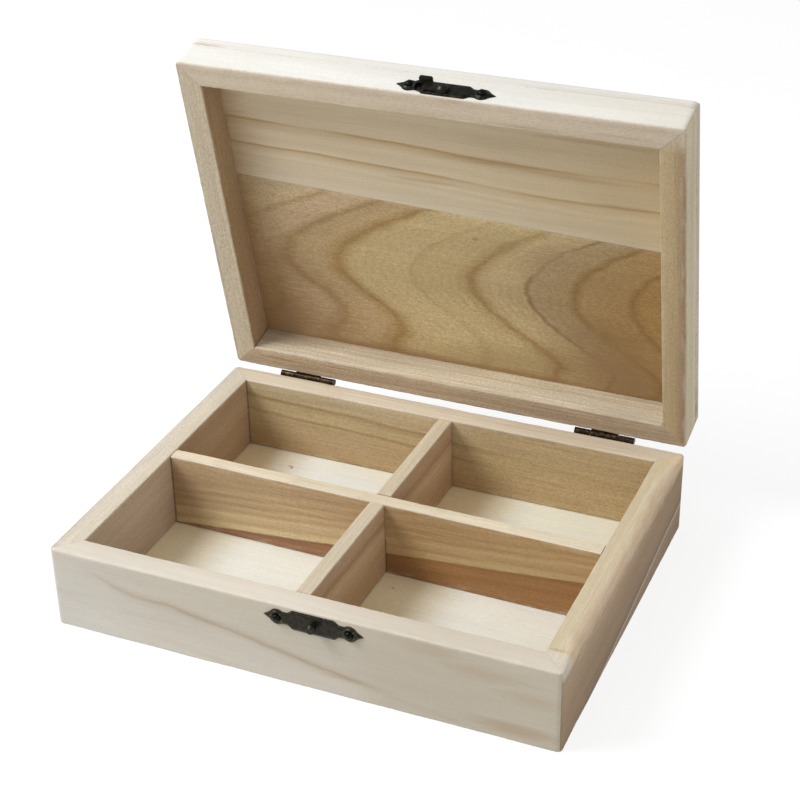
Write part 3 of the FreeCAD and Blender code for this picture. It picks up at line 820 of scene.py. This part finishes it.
def mitred(flat, x, half):
    """Point of a wall's section at x: rounded at the outer corner, inside it cut back to the mitre."""
    sunk = drop(half - abs(x), CORNER)
    y = sunk + flat.x * (WALL - sunk) / WALL
    along = x
    if y > CORNER_DEEP:
        along = x * (half - y) / (half - CORNER_DEEP)
    return Vector((along * (1 - MITRE_GAP / half), y, flat.y))


def make_wall(key, section, length, matrix, seed):
    """Mitred wall: its section runs from the outer face (y = 0) inwards, z is up."""
    half = length / 2
    rings = []
    wear = []
    seam = []
    for x in columns(half - CORNER_DEEP, CORNER):
        torn = TORN * fade(half - abs(x), 0.0, TORN_CALM)
        radii = wall_radii(key, x / half)
        ring, near = torn_ring(section, radii, lambda flat: mitred(flat, x, half), seed, torn)
        rings.append(ring)
        wear.append(near)
        # Painted shade in the inner corner, at the wall's ends next to its inner face
        at_end = 1 - fade(half - CORNER_DEEP - abs(x), SEAM_FULL, SEAM)
        seam.append([at_end * fade(p.y, *(WALL - inside for inside in SEAM_INSIDE)) for p in ring])
    return loft(key + "_board", rings, matrix, edge_wear=wear, seam=seam)


def build_walls():
    for i, side in enumerate(SIDES):
        length, offset = (WIDTH, DEPTH / 2) if side in ("front", "back") else (DEPTH, WIDTH / 2)
        place = Matrix.Rotation(math.radians(90 * i), 4, "Z") @ Matrix.Translation((0, -offset * MM, 0))
        for body, body_frame, section in (("box", IDENTITY, BOX_SECTION), ("lid", OPENED, LID_SECTION)):
            key = "%s_%s" % (body, side)
            looks = WALL_LOOKS[key]
            board = make_wall(key, section, length, body_frame @ place, looks["seed"])
            settle(board, body, key + "_wall", wood(key + "_wood", **looks))


# Dividers, base and lid panel


def strip_board(name, half, section_at, matrix, seed=0, torn=0.0, extra=(), seamed=False):
    """Straight board whose section, corners and radii, is given for each place along its length.

    extra are more places along it, and a seamed board has painted shade at its ends, below its upper edge.
    """
    rings = []
    wear = []
    seam = []
    for x in sorted(columns(half, END_DENSE) + list(extra)):
        ring, near = torn_ring(*section_at(x), lambda flat: Vector((x, flat.x, flat.y)), seed, torn)
        rings.append(ring)
        wear.append(near)
        at_end = (1 - fade(half - abs(x), SEAM_FULL, SEAM)) if seamed else 0.0
        top = max(point.z for point in ring)
        seam.append([at_end * fade(top - point.z, *SEAM_UNDER) for point in ring])
    return loft(name, rings, matrix, edge_wear=wear, seam=seam)


LAP_AT = (BASE + DIVIDER_TOP) / 2
DIVIDER_RADII = [HIDDEN_ROUND, INNER_ROUND, INNER_ROUND, HIDDEN_ROUND]


def lapped(x, crossed):
    """Whether a divider is cut at x, where the other one crosses it."""
    return crossed[LOW] - LAP_GAP < x < crossed[HIGH] + LAP_GAP


def lap_jumps(crossed):
    """Places just before and after the two edges of a divider's cut."""
    edges = (crossed[LOW] - LAP_GAP, crossed[HIGH] + LAP_GAP)
    return [edge + step for edge in edges for step in (-JUMP, JUMP)]


def long_section(x):
    """The long divider is cut from below and runs over the cross divider."""
    foot = LAP_AT + LAP_GAP / 2 if lapped(x, CROSS_MID) else FOOT_AT
    low, high = sides_at(LONG_ENDS, LONG_HALF, x)
    return upright(low, high, foot, DIVIDER_TOP), DIVIDER_RADII


def cross_section(x):
    """The cross divider is cut from above; it is turned a quarter, so that its sides change places."""
    top = LAP_AT - LAP_GAP / 2 if lapped(x, LONG_MID) else DIVIDER_TOP
    low, high = sides_at(CROSS_ENDS, CROSS_HALF, x)
    return upright(-high, -low, FOOT_AT, top), DIVIDER_RADII


def build_dividers():
    quarter = Matrix.Rotation(math.radians(90), 4, "Z")
    for node, half, section, matrix, crossed, looks in (
            ("long_divider", LONG_HALF, long_section, IDENTITY, CROSS_MID, LONG_LOOKS),
            ("cross_divider", CROSS_HALF, cross_section, quarter, LONG_MID, CROSS_LOOKS)):
        board = strip_board(node + "_board", half - END_GAP, section, matrix, looks["seed"], TORN,
                            lap_jumps(crossed), True)
        settle(board, "box", node, wood(node + "_wood", **looks))


def build_base():
    section = (upright(-base_high.y, base_high.y, base_low.z, base_high.z), [HIDDEN_ROUND] * 4)
    base = strip_board("base_sheet", base_high.x, lambda x: section, IDENTITY)
    settle(base, "box", "box_base_panel", wood("base_wood", **BASE_LOOKS))


def panel_section(x, side):
    """Section of the lid's board before (-1) or behind (1) the glue line, which is out of square."""
    from_end = WIDTH / 2 - abs(x)
    outer = side * (DEPTH / 2 - drop(from_end, CORNER))
    glue = GLUE_LEFT + (GLUE_RIGHT - GLUE_LEFT) * (x / WIDTH + 0.5) + side * GLUE_GAP
    fallen = drop(from_end, PANEL_ROUND)
    edge = PANEL_ROUND if fallen < PANEL_FALL else PANEL_END_ROUND
    return upright(outer, glue, 0, PANEL_THICK - fallen), [HIDDEN_ROUND, edge, GLUE_ROUND, GLUE_ROUND]


def build_panel():
    matrix = OPENED @ Matrix.Translation((0, 0, PANEL_UNDER * MM))
    for name, side, looks in (("front", -1, FRONT_LOOKS), ("rear", 1, REAR_LOOKS)):
        board = strip_board("lid_%s_board" % name, WIDTH / 2, lambda x: panel_section(x, side), matrix)
        material = wood("lid_%s_wood" % name, **looks)
        settle(board, "lid", "lid_panel_%s_board" % name, material)


# Latch plates: half the body's length and height, its corners, the round lobes and the pointed tips

PLATE_HALF = 10.4
PLATE_TALL = 4.0
PLATE_CORNER = 2.6
NECK_TALL = 2.5
LOBE_RADIUS = 3.2
TIP_WIDEN = 1.05
TIP_TALL = 0.1
PLATE_THICK = 0.8
PLATE_EDGE = 0.35
PLATE_DOME = 1.1
PLATE_RUBBED = 0.6
PLATE_RUBBED_AT = (0.2, 0.9)
PLATE_STEP = 0.25
PLATE_ACROSS = 24
DISH_RADIUS = 2.15
DISH_WIDE = 0.5
DISH_HIGH = 0.3
NAIL_APART = 4.0


def nail_boxes(node):
    """Lowest and highest corner, in millimetres, of each nail of a group, with the lid turned shut."""
    groups = []
    for point in shut_points(node):
        for group in groups:
            if abs(group[0].x - point.x) < NAIL_APART and abs(group[0].z - point.z) < NAIL_APART:
                group.append(point)
                break
        else:
            groups.append([point])
    return [corners_of(group) for group in groups]


def plate_tall(x, lobe_at, tip_at):
    """Half the height of a latch plate at a distance from its middle."""
    x = abs(x)
    body = PLATE_TALL - (PLATE_TALL - NECK_TALL) * fade(x, PLATE_HALF - PLATE_CORNER, PLATE_HALF)
    lobe = math.sqrt(max(0.0, LOBE_RADIUS ** 2 - (x - lobe_at) ** 2))
    tip = TIP_WIDEN * LOBE_RADIUS * max(0.0, tip_at - x) / (tip_at - lobe_at) if x > lobe_at else 0.0
    return max(body if x < lobe_at else TIP_TALL, lobe, tip)


def plate_ring(x, tall, lobe_at):
    """Points round a latch plate at x, domed and raised about its tacks, and how rubbed each is: the edges
    are worn, and the raised ring about each tack is made bright as wear and as a painted highlight.
    """
    ring = []
    wear = []
    for k in range(PLATE_ACROSS + 1):
        u = 2 * k / PLATE_ACROSS - 1
        inside = tall * (1 - abs(u))
        from_tack = math.hypot(abs(x) - lobe_at, u * tall)
        raised = max(0.0, 1 - abs(from_tack - DISH_RADIUS) / DISH_WIDE)
        thick = PLATE_EDGE + (PLATE_THICK - PLATE_EDGE) * fade(inside, 0.0, PLATE_DOME) + DISH_HIGH * raised
        ring.append(Vector((x, -thick, u * tall)))
        # The ring about each tack is brightened all round, partly wear and partly a painted highlight
        wear.append(max(raised, PLATE_RUBBED * (1 - fade(inside, *PLATE_RUBBED_AT))))
    return ring + [Vector((x, 0, side * tall)) for side in (1, -1)], wear + [0.0, 0.0]


def build_plate(body, body_frame, material):
    """Pressed latch plate on the front of the box or of the lid."""
    node = "latch_%s_plate" % body
    low, high = shut_box(node)
    tip_at = (high.x - low.x) / 2
    tacks = [nail[LOW].x for nail in nail_boxes(body + "_nails") if nail[LOW].y < 0]
    lobe_at = (max(tacks) - min(tacks)) / 2
    middle = Vector(((low.x + high.x) / 2, high.y, (low.z + high.z) / 2))
    count = round(2 * tip_at / PLATE_STEP)
    places = [-tip_at + 2 * tip_at * i / count for i in range(count + 1)]
    rings, wear = zip(*(plate_ring(x, plate_tall(x, lobe_at, tip_at), lobe_at) for x in places))
    plate = loft(node + "_pressed", rings, body_frame @ Matrix.Translation(middle * MM), edge_wear=wear)
    settle(plate, body, node, material)


# Nails: radius and rise of the heads' profiles, from the plate outwards

TACK = [(1.0, -0.3), (1.5, -0.3), (1.6, 0.1), (1.56, 0.45), (1.36, 0.9), (1.0, 1.2), (0.5, 1.38)]
NAIL = [(1.0, -0.3), (1.4, -0.3), (1.5, 0.1), (1.4, 0.35), (1.05, 0.55), (0.5, 0.66)]
CROWN = 0.05
HEAD = 0.75
TURN_STEPS = 20
NAIL_SHARP_DEG = 52.5


def turn_head(bm, x, z, face, out, profile):
    """Adds a nail's head, turned about a line along Y; out is 1 or -1, away from the face it stands on."""
    rows = []
    for radius, rise in profile:
        angles = [2 * math.pi * k / TURN_STEPS for k in range(TURN_STEPS)]
        rows.append([bm.verts.new(Vector((x + radius * math.cos(a), face + out * rise,
                                          z + radius * math.sin(a))) * MM) for a in angles])
    for one, two in zip(rows, rows[1:]):
        for k in range(TURN_STEPS):
            bm.faces.new((one[k - 1], one[k], two[k], two[k - 1]))
    top = bm.verts.new(Vector((x, face + out * (profile[-1][1] + CROWN), z)) * MM)
    for k in range(TURN_STEPS):
        bm.faces.new((rows[-1][k - 1], rows[-1][k], top))
    bm.faces.new(rows[0])


def build_nails(body, body_frame, material):
    """Domed tacks in the latch plate and low nails in the hinge leaves."""
    node = body + "_nails"
    bm = bmesh.new()
    for low, high in nail_boxes(node):
        place = (low + high) / 2
        face, out, profile = (low.y + HEAD, -1, TACK) if place.y < 0 else (high.y - HEAD, 1, NAIL)
        turn_head(bm, place.x, place.z, face, out, profile)
    nails = add_solid(node + "_turned", bm, body_frame, NAIL_SHARP_DEG)
    settle(nails, body, node, material)


def build_fittings():
    """Plates and nails are drawn anew; leaves, pins, rivet, stud and lever keep their shape."""
    plate = bronze("latch_bronze", linear(42, 40, 35), linear(104, 98, 70), 1)
    # The lid's plate is the box plate's bronze made darker, as painted shade
    shaded_plate = bronze("lid_plate_shaded_bronze", linear(18, 18, 18), linear(84, 80, 58), 4)
    tack = bronze("tack_bronze", linear(17, 17, 17), linear(52, 50, 40), 3, BRIGHT_ROUGH)
    hinge = bronze("hinge_bronze", linear(48, 35, 23), linear(176, 150, 104), 2, BRIGHT_ROUGH)
    for body, body_frame, finish in (("box", IDENTITY, plate), ("lid", OPENED, shaded_plate)):
        build_plate(body, body_frame, finish)
        build_nails(body, body_frame, tack)
    for node, obj in frame["nodes"].items():
        if not obj.hide_render:
            material = hinge if "hinge" in node else plate
            for slot in obj.material_slots:
                slot.material = material


# Floor: half its side in metres, its colour for the light it throws back, and its colour and glow as seen

FLOOR_HALF = 4.0
FLOOR_SHADE = linear(196, 196, 196)
FLOOR_PALE = linear(137, 137, 137)
FLOOR_GLOW = 0.82


def build_floor():
    mesh = bpy.data.meshes.new("floor")
    corners = [(FLOOR_HALF * x, FLOOR_HALF * y, 0) for x, y in ((-1, -1), (1, -1), (1, 1), (-1, 1))]
    mesh.from_pydata(corners, [], [(0, 1, 2, 3)])
    floor = add_object("floor", mesh)
    n = Nodes("floor_paper")
    bounce = n.put("ShaderNodeBsdfDiffuse", {"Color": FLOOR_SHADE})
    pale = n.put("ShaderNodeBsdfDiffuse", {"Color": FLOOR_PALE})
    glow = n.put("ShaderNodeEmission", {"Strength": FLOOR_GLOW})
    seen = n.put("ShaderNodeAddShader", {0: pale, 1: glow})
    ray = n.add("ShaderNodeLightPath").outputs
    direct = n.math("MAXIMUM", ray["Is Camera Ray"], ray["Is Glossy Ray"])
    direct = n.math("MAXIMUM", direct, ray["Is Transmission Ray"])
    n.show(n.put("ShaderNodeMixShader", {0: direct, 1: bounce, 2: seen}))
    mesh.materials.append(n.material)


# Light: place of each lamp, size of its disc and the point they aim at in metres, power in watts

LAMPS = {"key": (Vector((-0.68, -0.42, 0.86)), 0.55, 9.0), "fill": (Vector((1.15, -0.30, 0.45)), 0.9, 2.0)}
LAMPS_AIM = Vector((0, 0, 0.05))
WORLD_STRENGTH = 0.46


def build_light():
    world = bpy.data.worlds.new("studio")
    world.use_nodes = True
    background = world.node_tree.nodes["Background"]
    background.inputs["Color"].default_value = (1.0, 1.0, 1.0, 1.0)
    background.inputs["Strength"].default_value = WORLD_STRENGTH
    bpy.context.scene.world = world
    for name, (place, size, power) in LAMPS.items():
        data = bpy.data.lights.new(name, "AREA")
        data.shape = "DISK"
        data.size = size
        data.energy = power
        lamp = add_object(name, data)
        lamp.location = place
        lamp.rotation_euler = (LAMPS_AIM - place).to_track_quat("-Z", "Y").to_euler()


# Camera of the photograph: focal length, sensor and place in millimetres, directions in degrees

LENS = 81.416
SENSOR = 36.0
NEAREST = 0.01
CAMERA_AT = Vector((244.59, -534.85, 415.77))
CAMERA_AZIMUTH = 23.682
CAMERA_ELEVATION = 30.043
CAMERA_ROLL = -1.187


def build_camera():
    data = bpy.data.cameras.new("camera")
    data.lens = LENS
    data.sensor_width = SENSOR
    data.clip_start = NEAREST
    turn = (Matrix.Rotation(math.radians(CAMERA_AZIMUTH), 4, "Z")
            @ Matrix.Rotation(math.radians(90 - CAMERA_ELEVATION), 4, "X")
            @ Matrix.Rotation(math.radians(CAMERA_ROLL), 4, "Z"))
    bpy.context.scene.camera = add_object("camera", data, Matrix.Translation(CAMERA_AT * MM) @ turn)


build_walls()
build_dividers()
build_base()
build_panel()
build_fittings()
build_floor()
build_light()
build_camera()
bpy.context.scene.view_settings.view_transform = "Standard"
